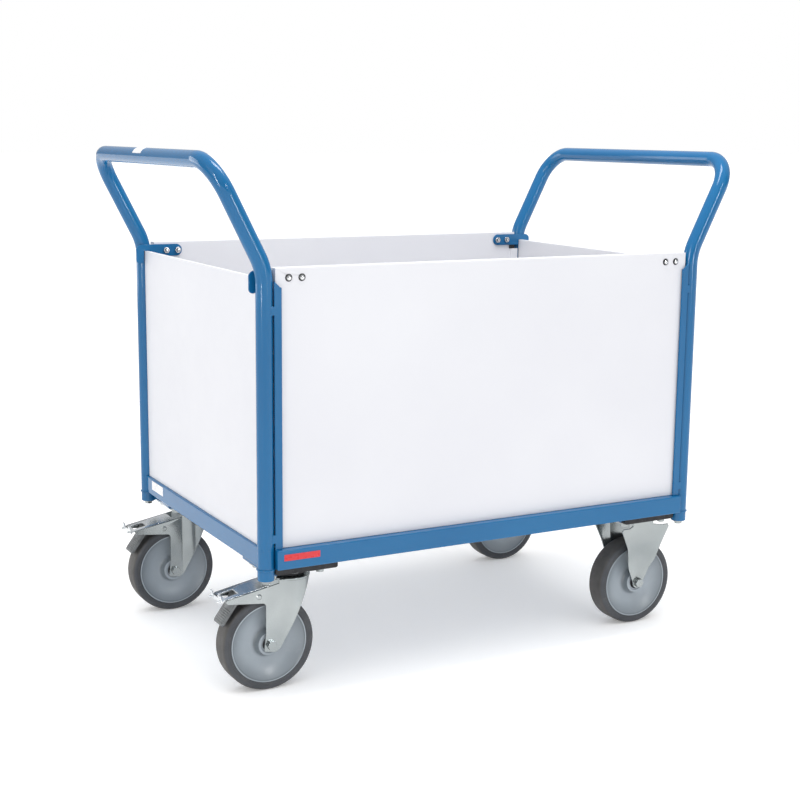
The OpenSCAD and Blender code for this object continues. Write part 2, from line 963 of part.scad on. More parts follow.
module axle(x, out) {
    color(zinc)
        axle_at(x) {
            translate([0, out + 5, 0])
                rotate([90, 0, 0])
                    cylinder(d = axle_d - 0.02, h = 2 * out + 10);
            translate([0, -out, 0])
                rotate([90, 0, 0])
                    hex(axle_head_d, axle_head_h);
            translate([0, out + axle_head_h, 0])
                rotate([90, 0, 0])
                    hex(axle_head_d, axle_head_h);
        }
}

module tyre(x) {
    w = tyre_w / 2;
    color([0.25, 0.26, 0.28])
        axle_at(x)
            rotate([90, 0, 0])
                rotate_extrude($fn = 96) {
                    translate([rim_r, -w])
                        square([tyre_t - tyre_r, tyre_w]);
                    translate([rim_r, -w + tyre_r])
                        square([tyre_t, tyre_w - 2 * tyre_r]);
                    for (s = [-1, 1])
                        translate([wheel_r - tyre_r, s * (w - tyre_r)])
                            circle(r = tyre_r, $fn = 48);
                }
}

// Outline of one half of the rim, from the bearing seat out to the tyre and back to the hub boss.
function rim_half(w) = [[bearing_r, 0], [rim_r, 0], [rim_r, w], [rim_r - rim_t, w],
    [rim_r - rim_t - 2, w - 5], [rim_r - rim_t - 14, web_t + 2], [hub_r + 10, web_t],
    [hub_r + 1, web_t + 3], [hub_r, hub_half - 5], [hub_r - 1, hub_half - 4],
    [bearing_r, hub_half - 4]];

module rim(x) {
    half = rim_half(tyre_w / 2 - 1);
    n = len(half) - 1;
    color([0.62, 0.65, 0.69])
        axle_at(x)
            rotate([90, 0, 0])
                rotate_extrude($fn = 96)
                    polygon(concat([for (i = [2:n]) half[i]], [for (i = [n:-1:2]) [half[i][0], -half[i][1]]]));
}

module bearing(x) {
    color([0.25, 0.26, 0.27])
        axle_at(x)
            rotate([90, 0, 0])
                rotate_extrude() {
                    r0 = axle_d / 2 + run_gap;
                    translate([r0, -hub_half + 3])
                        square([bearing_r - r0, 2 * hub_half - 6]);
                    translate([r0, -hub_half])
                        square([3, 2 * hub_half]);
                }
}

module brake_pin() {
    color(zinc)
        translate([-brake_x, fork_out + 2, brake_z])
            rotate([90, 0, 0]) {
                cylinder(d = pin_d - 0.02, h = 2 * fork_out + 4);
                cylinder(d1 = pin_d, d2 = pin_d + 4, h = 2);
                translate([0, 0, 2 * fork_out + 2])
                    cylinder(d2 = pin_d, d1 = pin_d + 4, h = 2);
            }
}

pedal_half = fork_in - 1.5;

module pedal() {
    color(zinc)
        translate([-brake_x, 0, brake_z])
            rotate([0, -arm_slope, 0])
                difference() {
                    union() {
                        // tread sheet
                        translate([-pedal_l, -pedal_half, pedal_rise])
                            cube([pedal_l + pedal_f, 2 * pedal_half, pedal_t]);
                        // turned-up tip with two lugs
                        translate([-pedal_l - pedal_t, -pedal_half, pedal_rise - 2])
                            cube([pedal_t + eps, 2 * pedal_half, pedal_t + 6]);
                        for (s = [-1, 1])
                            translate([-pedal_l - pedal_t, s * (pedal_half - 8) - 6, pedal_rise])
                                cube([pedal_t, 12, tip_h + pedal_t]);
                        for (s = [-1, 1])
                            translate([-pedal_l - pedal_t - 6, s * (pedal_half - 8) - 4, pedal_rise])
                                cube([7, 8, pedal_t]);
                        // cheeks
                        for (s = [-1, 1])
                            translate([0, s * (pedal_half - pedal_t / 2) + pedal_t / 2, 0])
                                rotate([90, 0, 0])
                                    linear_extrude(pedal_t) {
                                        circle(d = pin_d + 5, $fn = 48);
                                        translate([-pedal_l + 14, pedal_rise - 5])
                                            square([pedal_l - 14 + pin_d, 5 + eps]);
                                        translate([-(pin_d + 5) / 2, 0])
                                            square([pin_d + 5, pedal_rise + eps]);
                                    }
                    }
                    translate([0, 50, 0])
                        rotate([90, 0, 0])
                            cylinder(d = pin_d + 2 * run_gap, h = 100);
                    translate([-pedal_l + 10, -slot_w / 2, pedal_rise - 1])
                        cube([slot_l, slot_w, pedal_t + 2]);
                }
}

module brake_pad() {
    r = wheel_r + pad_gap;
    hang = pad_w / 2 - 3;
    color([0.42, 0.43, 0.44])
        difference() {
            union() {
                translate([-trail, 0, wheel_r])
                    rotate([0, -(180 - pad_ang), 0]) {
                        translate([r, 0, 0])
                            rotate([0, 90, 0])
                                linear_extrude(pad_t)
                                    pad_outline();
                        for (i = [-3:3])
                            translate([r + pad_t - eps, -pad_w / 2 + 3, i * 4.6 - 1])
                                cube([1.2, pad_w - 6, 2]);
                    }
                for (s = [-1, 1])
                    translate([0, s * hang + 1.5, 0])
                        rotate([90, 0, 0])
                            linear_extrude(3)
                                pad_arm();
            }
            // trimmed along the underside of the tread sheet
            translate([-brake_x, 0, brake_z])
                rotate([0, -arm_slope, 0])
                    translate([-2 * pedal_l, -pad_w, pedal_rise])
                        cube([4 * pedal_l, 2 * pad_w, 2 * pedal_l]);
        }
}

// The plate seen along the wheel radius: square at the pedal, rounded at its free end.
module pad_outline() {
    w = pad_w / 2;
    polygon(concat([[pad_up, -w], [pad_up, w]],
        arc(-pad_down + pad_r, w - pad_r, pad_r, 90, 180, 6),
        arc(-pad_down + pad_r, -w + pad_r, pad_r, 180, 270, 6)));
}

// Web behind the pad plate, standing up to the underside of the tread sheet.
module pad_arm() {
    r = wheel_r + pad_gap + pad_t / 2;
    low = [-trail - r * cos(pad_ang) + sin(pad_ang) * pad_up * 0.6,
        wheel_r + r * sin(pad_ang) + cos(pad_ang) * pad_up * 0.6];
    high = low + [sin(pad_ang), cos(pad_ang)] * pad_up * 0.4;
    top = brake_z + pedal_l;
    polygon([low, high, [high[0], top], [low[0], top]]);
}

// Pressed leg of a fixed castor: flat face between two raised wings, leaning outward to the plate.
module fixed_leg() {
    h = plate_bot - wheel_r;
    t = plate_l / 2 - 1;
    shoulder = h - plate_head_h - 2;
    face = [[t, -wing_out], [fixed_flat + wing_w, -wing_out], [fixed_flat, 0]];
    edge = [[leg_w / 2, 0], [t * 0.57, h * 0.36], [t * 0.7, h * 0.6], [t, shoulder - 6],
        [t - 3, shoulder], [fixed_flat, shoulder], [fixed_flat, h + leg_w]];
    translate([0, -fork_out, wheel_r])
        rotate([fixed_lean, 0, 0])
            intersection() {
                translate([0, 0, -leg_w])
                    linear_extrude(h + 3 * leg_w)
                        polygon(concat(face, flipped(face), shifted(flipped_back(face), fork_t),
                            shifted([for (i = [2:-1:0]) face[i]], fork_t)));
                translate([0, 60, 0])
                    rotate([90, 0, 0])
                        linear_extrude(120)
                            union() {
                                circle(r = leg_w / 2);
                                polygon(concat(edge, flipped(edge)));
                            }
            }
}

// Mirror copy of a run of points about the upright axis, in reverse order or in the same order.
function flipped(run) = [for (i = [len(run) - 1:-1:0]) [-run[i][0], run[i][1]]];
function flipped_back(run) = [for (p = run) [-p[0], p[1]]];
function shifted(run, d) = [for (p = run) [p[0], p[1] + d]];

module fixed_fork() {
    color(zinc)
        difference() {
            union() {
                mount_plate();
                intersection() {
                    for (s = [0, 1])
                        mirror([0, s, 0])
                            fixed_leg();
                    translate([-plate_l, -plate_w, 0])
                        cube([2 * plate_l, 2 * plate_w, plate_bot + 1]);
                }
            }
            translate([0, 100, wheel_r])
                rotate([90, 0, 0])
                    cylinder(d = axle_d, h = 200);
            // seats for the axle head and nut, and room for the hub between the legs
            for (s = [0, 1])
                mirror([0, s, 0])
                    translate([0, fork_out + 2 * axle_head_h, wheel_r])
                        rotate([90, 0, 0])
                            cylinder(d = axle_head_d + 1, h = 2 * axle_head_h);
            translate([0, fork_in, wheel_r])
                rotate([90, 0, 0])
                    cylinder(r = leg_w / 2 + 2, h = 2 * fork_in);
            plate_points()
                translate([0, 0, plate_bot - plate_head_h - 1])
                    cylinder(d = plate_head_d + 1, h = plate_head_h + 1);
            plate_points()
                translate([0, 0, plate_bot - 1])
                    cylinder(d = plate_bolt_d, h = plate_t + 2);
        }
}

// ---------- labels ----------
module labels() {
    color([0.90, 0.90, 0.90]) {
        for (s = [0, 1])
            rotate([0, 0, s * 180])
                translate([-frame_l / 2 + 38, -frame_w / 2 - label_t, rail_top - 9 - label_h])
                    cube([label_l, label_t, label_h]);
        translate([-frame_l / 2 - label_t, 226, rail_top - 4 - plate_label_h])
            cube([label_t, plate_label_l, plate_label_h]);
        translate([-grip_x, grip_label_l, grip_z])
            rotate([90, 0, 0])
                difference() {
                    cylinder(r = tube_r + label_t, h = grip_label_l);
                    translate([0, 0, -1])
                        cylinder(r = tube_r, h = grip_label_l + 2);
                    translate([-tube_d, -2 * tube_d, -1])
                        cube([2 * tube_d, 2 * tube_d + 6, grip_label_l + 2]);
                }
    }
}

long_rail(-1);  // front_rail
long_rail(1);  // rear_rail
end_rail(-1);  // left_rail
end_rail(1);  // right_rail
corner_posts();
post_bolts();
deck_bearers();
deck_board();
deck_screws();
castor_channels();
castor_bolts();
castor_nuts();
handle_left();
handle_right();
retaining_strips();
end_board_left();
end_board_right();
end_lugs();
lug_screws();
labels();
front() side_board();  // side_board_front
front() side_hooks();  // side_hooks_front
front() side_bolts();  // side_bolts_front
front() side_nuts();  // side_nuts_front
side_board();  // side_board_rear
side_hooks();  // side_hooks_rear
side_bolts();  // side_bolts_rear
side_nuts();  // side_nuts_rear
swivel_at(-1) swivel_plate();  // swivel_plate_near
swivel_at(-1) ball_ring();  // ball_ring_near
swivel_at(-1) king_bolt();  // king_bolt_near
swivel_at(-1) fork();  // fork_near
swivel_at(-1) axle(-trail, fork_out);  // axle_near
swivel_at(-1) brake_pin();  // brake_pin_near
swivel_at(-1) pedal();  // pedal_near
swivel_at(-1) brake_pad();  // brake_pad_near
swivel_at(-1) rim(-trail);  // rim_near
swivel_at(-1) bearing(-trail);  // bearing_near
swivel_at(-1) tyre(-trail);  // tyre_near
swivel_at(1) swivel_plate();  // swivel_plate_far
swivel_at(1) ball_ring();  // ball_ring_far
swivel_at(1) king_bolt();  // king_bolt_far
swivel_at(1) fork();  // fork_far
swivel_at(1) axle(-trail, fork_out);  // axle_far
swivel_at(1) brake_pin();  // brake_pin_far
swivel_at(1) pedal();  // pedal_far
swivel_at(1) brake_pad();  // brake_pad_far
swivel_at(1) rim(-trail);  // rim_far
swivel_at(1) bearing(-trail);  // bearing_far
swivel_at(1) tyre(-trail);  // tyre_far
fixed_at(-1) fixed_fork();  // fixed_fork_near
fixed_at(-1) axle(0, fork_out);  // fixed_axle_near
fixed_at(-1) rim(0);  // fixed_rim_near
fixed_at(-1) bearing(0);  // fixed_bearing_near
fixed_at(-1) tyre(0);  // fixed_tyre_near
fixed_at(1) fixed_fork();  // fixed_fork_far
fixed_at(1) axle(0, fork_out);  // fixed_axle_far
fixed_at(1) rim(0);  // fixed_rim_far
fixed_at(1) bearing(0);  // fixed_bearing_far
fixed_at(1) tyre(0);  // fixed_tyre_far
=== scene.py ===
"""Looks for a four-wheeled box trolley: blue tube frame, white boards, zinc castors."""
import json
import math
import random

import bmesh
import bpy
from mathutils import Matrix, Vector


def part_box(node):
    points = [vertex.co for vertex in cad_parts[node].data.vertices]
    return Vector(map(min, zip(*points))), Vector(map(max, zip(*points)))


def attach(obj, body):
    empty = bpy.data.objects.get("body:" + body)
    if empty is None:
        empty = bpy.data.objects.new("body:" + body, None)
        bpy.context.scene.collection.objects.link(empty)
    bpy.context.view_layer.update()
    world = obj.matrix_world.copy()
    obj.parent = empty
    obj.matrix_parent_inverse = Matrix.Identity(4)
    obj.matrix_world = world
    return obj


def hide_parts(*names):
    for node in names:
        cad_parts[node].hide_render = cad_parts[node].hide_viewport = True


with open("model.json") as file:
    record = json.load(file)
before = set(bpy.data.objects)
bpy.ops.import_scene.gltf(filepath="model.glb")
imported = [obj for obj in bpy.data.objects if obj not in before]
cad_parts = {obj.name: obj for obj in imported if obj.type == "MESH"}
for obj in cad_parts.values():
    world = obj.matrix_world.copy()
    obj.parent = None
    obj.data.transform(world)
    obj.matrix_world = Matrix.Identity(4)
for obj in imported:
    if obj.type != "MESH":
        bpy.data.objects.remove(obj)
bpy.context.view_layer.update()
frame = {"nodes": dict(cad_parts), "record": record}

NODES = frame["nodes"]
BODIES = frame["record"]["behaviour"]["bodies"]
BODY = {node: body for body, members in BODIES.items() for node in members}
SLOT = {s["node"]: s["material_slot"] for s in frame["record"]["subparts"]}
MM = 0.001
SIDES = ("near", "far")
CREASE = 36  # degrees; edges that turn more than this stay crisp


# ---------- node materials ----------
class Shader:
    """A material with one Principled shader and short calls for its nodes."""

    def __init__(self, name, **sockets):
        self.mat = bpy.data.materials.new(name)
        self.mat.use_nodes = True
        self.nodes = self.mat.node_tree.nodes
        self.links = self.mat.node_tree.links
        self.main = self.nodes["Principled BSDF"]
        for key, value in sockets.items():
            self.main.inputs[key.replace("_", " ")].default_value = value
        where = self.nodes.new("ShaderNodeTexCoord")
        self.place = where.outputs["Object"]
        self.normal = where.outputs["Normal"]

    def set(self, socket, value):
        if isinstance(value, bpy.types.NodeSocket):
            self.links.new(value, socket)
        else:
            socket.default_value = value

    def make(self, kind, inputs, **settings):
        node = self.nodes.new(kind)
        for key, value in settings.items():
            setattr(node, key, value)
        for key, value in inputs.items():
            self.set(node.inputs[key], value)
        return node

    def noise(self, scale, detail=4.0, stretch=(1, 1, 1), distortion=0.0):
        mapped = self.make("ShaderNodeMapping", {"Vector": self.place, "Scale": stretch})
        inputs = {"Vector": mapped.outputs[0], "Scale": scale, "Detail": detail,
                  "Distortion": distortion}
        return self.make("ShaderNodeTexNoise", inputs).outputs["Fac"]

    def ramp(self, fac, low, high, start=0.35, end=0.65):
        """Turns a 0 to 1 value into a mix between two numbers or colours."""
        colours = [c if isinstance(c, tuple) else (c, c, c) for c in (low, high)]
        node = self.make("ShaderNodeValToRGB", {"Fac": fac})
        for stop, place, colour in zip(node.color_ramp.elements, (start, end), colours):
            stop.position = place
            stop.color = (*colour, 1)
        return node.outputs["Color"]

    def mask(self, fac, start, end):
        """0 below start, 1 above end, and a slope between them."""
        return self.ramp(fac, 0.0, 1.0, start, end)

    def mix(self, fac, a, b):
        node = self.make("ShaderNodeMix", {"Factor": fac}, data_type="RGBA")
        self.set(node.inputs[6], a if isinstance(a, bpy.types.NodeSocket) else (*a, 1))
        self.set(node.inputs[7], b if isinstance(b, bpy.types.NodeSocket) else (*b, 1))
        return node.outputs[2]

    def math(self, operation, a, b=0.0):
        return self.make("ShaderNodeMath", {0: a, 1: b}, operation=operation).outputs[0]

    def tint(self, under, over, mask, share):
        """Lays a share of one colour over another, where the mask allows it."""
        return self.mix(self.math("MULTIPLY", mask, share), under, over)

    def facing(self, axis):
        """1 where the surface faces along one of the object's axes, 0 where it is side on."""
        normal = self.make("ShaderNodeSeparateXYZ", {0: self.normal})
        return self.math("ABSOLUTE", normal.outputs[axis])

    def bump(self, height, strength, distance):
        inputs = {"Height": height, "Strength": strength, "Distance": distance}
        node = self.make("ShaderNodeBump", inputs)
        self.links.new(node.outputs[0], self.main.inputs["Normal"])

    def finish(self, colour, roughness):
        self.set(self.main.inputs["Base Color"], colour)
        self.set(self.main.inputs["Roughness"], roughness)
        return self.mat


def blue_paint():
    """Glossy powder coat: an even blue with a slow drift in tone and the finest orange peel."""
    s = Shader("blue_paint", Specular_IOR_Level=0.4)
    drift = s.ramp(s.noise(3, 2), (0.0045, 0.112, 0.278), (0.0060, 0.126, 0.302))
    haze = s.mask(s.noise(9, 4, (1, 1, 0.3)), 0.45, 0.85)
    colour = s.tint(drift, (0.015, 0.16, 0.35), haze, 0.06)
    s.bump(s.noise(700, 2), 0.015, 0.0002)
    return s.finish(colour, s.ramp(s.noise(14, 3), 0.08, 0.12))


def zinc(name, low, high, rough, spangle=9):
    """Bright zinc plate: wide soft patches, a straw tint, handling marks and fine rolling lines."""
    s = Shader(name, Metallic=0.88, Specular_IOR_Level=0.5)
    patches = s.ramp(s.noise(spangle, 3, distortion=0.4), low, high, 0.30, 0.70)
    straw = s.mask(s.noise(5, 2), 0.5, 0.75)
    colour = s.tint(patches, (0.56, 0.56, 0.50), straw, 0.12)
    marks = s.mask(s.noise(40, 4, (1, 0.15, 1), 0.4), 0.60, 0.78)
    colour = s.tint(colour, (0.36, 0.38, 0.38), marks, 0.10)
    s.bump(s.noise(500, 3, (1, 0.08, 1)), 0.015, 0.0002)
    return s.finish(colour, s.ramp(s.noise(8, 3), rough - 0.03, rough + 0.05))


def dome_metal():
    """Polished coach bolt heads: a painted highlight at the crown and painted shade round the rim.
    """
    s = Shader("dome_bolt", Metallic=1.0, Specular_IOR_Level=0.5)
    # painted light: light where the head faces straight out, dark where it turns towards its rim
    dome = s.ramp(s.facing("Y"), (0.030, 0.032, 0.034), (0.78, 0.79, 0.80), 0.80, 0.965)
    wear = s.mask(s.noise(400, 4), 0.50, 0.80)
    colour = s.tint(dome, (0.30, 0.31, 0.32), wear, 0.25)
    s.bump(s.noise(700, 2), 0.05, 0.0001)
    return s.finish(colour, s.ramp(s.noise(90, 4), 0.14, 0.24))


def white_board():
    """White melamine: a very fine pearl grain, a trace of dust and paler top and bottom edges."""
    s = Shader("white_board", Specular_IOR_Level=0.4)
    tone = s.ramp(s.noise(2.5, 3), (0.690, 0.693, 0.728), (0.716, 0.720, 0.750))
    edge = s.mask(s.facing("Z"), 0.6, 0.9)
    colour = s.tint(tone, (0.76, 0.76, 0.77), edge, 0.5)
    dust = s.mask(s.noise(55, 8, distortion=0.5), 0.68, 0.80)
    colour = s.tint(colour, (0.60, 0.60, 0.63), dust, 0.03)
    s.bump(s.noise(1100, 2), 0.08, 0.0001)
    return s.finish(colour, s.ramp(s.noise(30, 4), 0.36, 0.46))


def deck_wood():
    """Phenolic-faced deck: a pale grey-white film with worn lanes along its length."""
    s = Shader("deck_wood", Specular_IOR_Level=0.35)
    tone = s.ramp(s.noise(3, 6, (1, 3, 1)), (0.66, 0.66, 0.67), (0.74, 0.74, 0.75))
    wear = s.mask(s.noise(14, 9, (0.25, 1, 1), 0.5), 0.56, 0.72)
    colour = s.tint(tone, (0.47, 0.45, 0.43), wear, 0.22)
    s.bump(s.noise(500, 2), 0.12, 0.0002)
    return s.finish(colour, s.ramp(s.noise(40, 5), 0.42, 0.6))


def rubber():
    """Grey rubber tyre: smooth darker sides, a lighter scrubbed tread, dust in patches."""
    s = Shader("tyre_rubber", Specular_IOR_Level=0.3)
    side = s.mask(s.facing("Y"), 0.45, 0.85)
    tread = s.ramp(s.noise(18, 6), (0.070, 0.068, 0.066), (0.092, 0.088, 0.084))
    flank = s.ramp(s.noise(18, 6), (0.056, 0.060, 0.068), (0.072, 0.076, 0.084))
    colour = s.mix(side, tread, flank)
    dust = s.mask(s.noise(70, 9, distortion=0.4), 0.58, 0.76)
    colour = s.tint(colour, (0.175, 0.168, 0.158), dust, 0.16)
    s.bump(s.noise(900, 3), 0.22, 0.0002)
    return s.finish(colour, s.ramp(s.noise(50, 5), 0.50, 0.68))


def rim_plastic():
    """Moulded grey polyamide: flow clouds, painted shade on the slopes, light rubbing and fine
    grain.
    """
    s = Shader("rim_plastic", Specular_IOR_Level=0.5)
    clouds = s.ramp(s.noise(9, 3, distortion=0.5), (0.285, 0.325, 0.360), (0.335, 0.380, 0.420))
    # painted shade: faces that slope away from the wheel's sides turn dark grey; only faces square
    # to the axle keep the flow clouds
    flat = s.mask(s.facing("Y"), 0.72, 0.985)
    tone = s.mix(flat, (0.165, 0.190, 0.210), clouds)
    rub = s.mask(s.noise(120, 7, distortion=0.3), 0.60, 0.80)
    colour = s.tint(tone, (0.46, 0.50, 0.53), rub, 0.14)
    s.bump(s.noise(650, 3), 0.12, 0.0002)
    return s.finish(colour, s.ramp(s.noise(40, 5), 0.30, 0.42))


def dark_metal(name, low, high, rough):
    """Oiled steel or seal, with light rubbed spots."""
    s = Shader(name, Metallic=0.6, Specular_IOR_Level=0.5)
    tone = s.ramp(s.noise(60, 6), low, high)
    rub = s.mask(s.noise(240, 5), 0.66, 0.78)
    colour = s.tint(tone, (0.42, 0.42, 0.43), rub, 0.35)
    s.bump(s.noise(900, 3), 0.2, 0.0002)
    return s.finish(colour, s.ramp(s.noise(90, 4), rough - 0.06, rough + 0.08))


def label_film(name, low, high):
    """Plain film: an even colour with a soft gloss and the faintest rub marks."""
    s = Shader(name, Specular_IOR_Level=0.5)
    tone = s.ramp(s.noise(12, 2), low, high)
    rub = s.mask(s.noise(260, 6, (0.2, 1, 1)), 0.60, 0.80)
    colour = s.tint(tone, (0.80, 0.80, 0.80), rub, 0.03)
    s.bump(s.noise(300, 2), 0.04, 0.0002)
    return s.finish(colour, s.ramp(s.noise(70, 4), 0.22, 0.34))


def floor_paint():
    """Pale studio floor, lifted a little by a glow of its own so that shadows stay light."""
    s = Shader("floor", Specular_IOR_Level=0.2,
               Emission_Color=(1.0, 1.0, 1.0, 1.0), Emission_Strength=0.22)
    tone = s.ramp(s.noise(0.8, 3), (0.90, 0.90, 0.90), (0.93, 0.93, 0.93))
    return s.finish(tone, s.ramp(s.noise(5, 4), 0.7, 0.8))


# One look for each material slot of the record.
LOOKS = {
    "blue_paint": blue_paint(),
    "zinc_steel": zinc("zinc_steel", (0.26, 0.285, 0.29), (0.37, 0.395, 0.395), 0.19),
    "board_white": white_board(),
    "deck_wood": deck_wood(),
    "tyre": rubber(),
    "rim_grey": rim_plastic(),
    "bearing_dark": dark_metal("bearing_dark", (0.06, 0.06, 0.065), (0.11, 0.11, 0.115), 0.42),
    "ball_steel": dark_metal("ball_steel", (0.40, 0.40, 0.41), (0.52, 0.52, 0.53), 0.22),
    "pad_grey": dark_metal("pad_grey", (0.10, 0.107, 0.11), (0.16, 0.168, 0.172), 0.42),
    "label_white": label_film("label_white", (0.80, 0.80, 0.82), (0.86, 0.86, 0.88)),
}
# Looks that stand in for a slot's own on some pieces.
RED_FILM = label_film("label_red", (0.60, 0.016, 0.022), (0.64, 0.020, 0.028))
BRIGHT = zinc("bright_bolt", (0.56, 0.57, 0.58), (0.68, 0.69, 0.70), 0.20, 60)
DOME = dome_metal()
# painted light: the pedal gets a much lighter copy of the zinc, to brighten its upward face
PEDAL_LIT_ZINC = zinc("pedal_zinc", (0.58, 0.61, 0.63), (0.72, 0.74, 0.75), 0.24)
# Black for the real bearing seals; the same black is also painted shade in the channel mouths, the
# swivel race and the screw slots, and colours the black blocks under the hooks.
SEAL_AND_SHADE_BLACK = dark_metal("black_seal_and_painted_shade", (0.018, 0.018, 0.020), (0.035, 0.035, 0.038), 0.5)


# ---------- meshes ----------
def clean_copy(node):
    """A welded copy of a CAD node's mesh, with its flat faces whole again."""
    bm = bmesh.new()
    bm.from_mesh(NODES[node].data)
    bmesh.ops.remove_doubles(bm, verts=bm.verts, dist=0.00001)
    bmesh.ops.dissolve_limit(bm, angle_limit=math.radians(0.4), verts=bm.verts, edges=bm.edges)
    return bm


def add_piece(name, bm, body, slot, look=None, crease=CREASE):
    """Makes an object from a bmesh, on a CAD body, with the finish of a material slot."""
    mesh = bpy.data.meshes.new(name)
    bmesh.ops.recalc_face_normals(bm, faces=bm.faces)
    bm.to_mesh(mesh)
    bm.free()
    piece = bpy.data.objects.new(name, mesh)
    bpy.context.scene.collection.objects.link(piece)
    mesh.materials.append(look or LOOKS[slot])
    for face in mesh.polygons:
        face.use_smooth = True
    mesh.set_sharp_from_angle(angle=math.radians(crease))
    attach(piece, body)
    return piece


def soften(node, width, look=None, segments=2, angle=34):
    """Stands for a CAD node with the same shape and rounded edges."""
    piece = add_piece(f"{node}_soft", clean_copy(node), BODY[node], SLOT[node], look, angle)
    edge = piece.modifiers.new("edges", "BEVEL")
    edge.width = width
    edge.segments = segments
    edge.limit_method = "ANGLE"
    edge.angle_limit = math.radians(angle)
    edge.harden_normals = True
    edge.use_clamp_overlap = False
    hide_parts(node)


def finish_slot(node):
    """Keeps a CAD node as it is, with its slot's material."""
    NODES[node].data.materials.clear()
    NODES[node].data.materials.append(LOOKS[SLOT[node]])


def loose_parts(node):
    """The separate lumps of a CAD node: a list of (lowest corner, highest corner, bmesh)."""
    whole = clean_copy(node)
    left = set(whole.verts)
    groups = []
    while left:
        seed = left.pop()
        group = {seed}
        to_visit = [seed]
        while to_visit:
            for link in to_visit.pop().link_edges:
                for vert in link.verts:
                    if vert in left:
                        left.discard(vert)
                        group.add(vert)
                        to_visit.append(vert)
        groups.append(group)
    parts = []
    for group in groups:
        low = Vector([min(v.co[i] for v in group) for i in range(3)])
        high = Vector([max(v.co[i] for v in group) for i in range(3)])
        part = bmesh.new()
        made = {v: part.verts.new(v.co) for v in group}
        for face in {f for v in group for f in v.link_faces}:
            part.faces.new([made[v] for v in face.verts])
        parts.append((low, high, part))
    whole.free()
    return sorted(parts, key=lambda p: tuple(round(c, 5) for c in p[0]))


def part_boxes(node):
    """The (lowest corner, highest corner) of each separate lump of a CAD node."""
    boxes = []
    for low, high, part in loose_parts(node):
        part.free()
        boxes.append((low, high))
    return boxes


def join_rings(bm, here, there):
    """Adds a band of four-sided faces between two closed rings of vertices."""
    for i in range(len(here)):
        j = (i + 1) % len(here)
        bm.faces.new([here[i], here[j], there[j], there[i]])


def unit_circle(steps):
    return [(math.cos(2 * math.pi * k / steps), math.sin(2 * math.pi * k / steps))
            for k in range(steps)]


def mirrored(points):
    """An outline of (radius, along Y) points, followed by its mirror image across Y = 0."""
    return points + [(r, -y) for r, y in reversed(points)]


def round_corners(points, radius, steps=4):
    """A closed outline with every corner rounded, as far as its sides allow."""
    out = []
    count = len(points)
    for i, point in enumerate(points):
        p = Vector(point)
        a = Vector(points[i - 1]) - p
        b = Vector(points[(i + 1) % count]) - p
        reach = min(radius, a.length * 0.45, b.length * 0.45)
        start = p + a.normalized() * reach
        end = p + b.normalized() * reach
        for k in range(steps + 1):
            t = k / steps
            out.append(start * (1 - t) ** 2 + p * 2 * t * (1 - t) + end * t ** 2)
    return out


def lathe(name, outline, centre, body, slot, look=None, steps=64, crease=CREASE):
    """Turns a closed outline of (radius, along Y) points round the Y axis through centre."""
    bm = bmesh.new()
    rings = [[bm.verts.new(centre + Vector((r * c, y, r * s))) for r, y in outline]
             for c, s in unit_circle(steps)]
    for here, there in zip(rings, rings[1:] + rings[:1]):
        join_rings(bm, here, there)
    return add_piece(name, bm, body, slot, look, crease)


def slab(bm, low, high):
    """Adds a box between two corners."""
    place = Matrix.Translation((low + high) / 2) @ Matrix.Diagonal((*(high - low), 1))
    made = bmesh.ops.create_cube(bm, size=1)["verts"]
    bmesh.ops.transform(bm, matrix=place, verts=made)


# ---------- weld beads ----------
BEAD_STEP = 0.0012  # length along a bead between its rings
BEAD_SIDES = 8
WELD_CREASE = 70


def bead_rings(bm, points, radius, closed=False):
    """Adds one weld bead to bm: a rippled tube of small rings along points."""
    rings = []
    count = len(points)
    for i, point in enumerate(points):
        if closed:
            ahead = points[(i + 1) % count] - points[i - 1]
        else:
            ahead = points[min(i + 1, count - 1)] - points[max(i - 1, 0)]
        across = ahead.orthogonal().normalized()
        up = ahead.normalized().cross(across)
        ripple = radius * (0.84 + 0.16 * abs(math.sin(i * 0.8)) + random.uniform(-0.03, 0.03))
        if not closed and i in (0, count - 1):
            ripple *= 0.45
        rings.append([bm.verts.new(point + (across * c + up * s) * ripple)
                      for c, s in unit_circle(BEAD_SIDES)])
    for i in range(count if closed else count - 1):
        here, there = rings[i], rings[(i + 1) % count]
        turn = min(range(BEAD_SIDES), key=lambda k: (here[0].co - there[k].co).length)
        join_rings(bm, here, there[turn:] + there[:turn])
    if not closed:
        bm.faces.new(rings[0])
        bm.faces.new(rings[-1])


def line(start, end):
    """Points for a straight bead."""
    count = max(3, int((end - start).length / BEAD_STEP))
    return [start.lerp(end, i / count) for i in range(count + 1)]


def ring(centre, radius):
    """Points for a level round bead."""
    count = max(6, int(2 * math.pi * radius / BEAD_STEP))
    return [centre + Vector((math.cos(2 * math.pi * i / count) * radius,
                             math.sin(2 * math.pi * i / count) * radius, 0)) for i in range(count)]


def frame_welds():
    """Beads round the posts under the rails, along the bearers and at the end lugs."""
    bm = bmesh.new()
    rail_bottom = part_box("front_rail")[0].z
    for low, high in part_boxes("corner_posts"):
        middle = (low + high) / 2
        radius = (high.x - low.x) / 2
        under = Vector((middle.x, middle.y, rail_bottom - 0.4 * MM))
        bead_rings(bm, ring(under, radius + 0.6 * MM), 1.7 * MM, closed=True)
    inset = 3 * MM
    for low, high in part_boxes("deck_bearers"):
        z = low.z + 0.3 * MM
        for y in (low.y, high.y):
            ends = Vector((low.x + inset, y, z)), Vector((high.x - inset, y, z))
            bead_rings(bm, line(*ends), 1.6 * MM)
    lug_weld = 9 * MM
    for low, high in part_boxes("end_lugs"):
        middle = (low + high) / 2
        y = high.y if middle.y > 0 else low.y
        x = high.x if middle.x < 0 else low.x
        for z in (low.z + 2 * MM, high.z - 2 * MM):
            ends = Vector((x, y - math.copysign(lug_weld, y), z)), Vector((x, y, z))
            bead_rings(bm, line(*ends), 1.3 * MM)
    add_piece("frame_welds", bm, "base", "blue_paint", crease=WELD_CREASE)


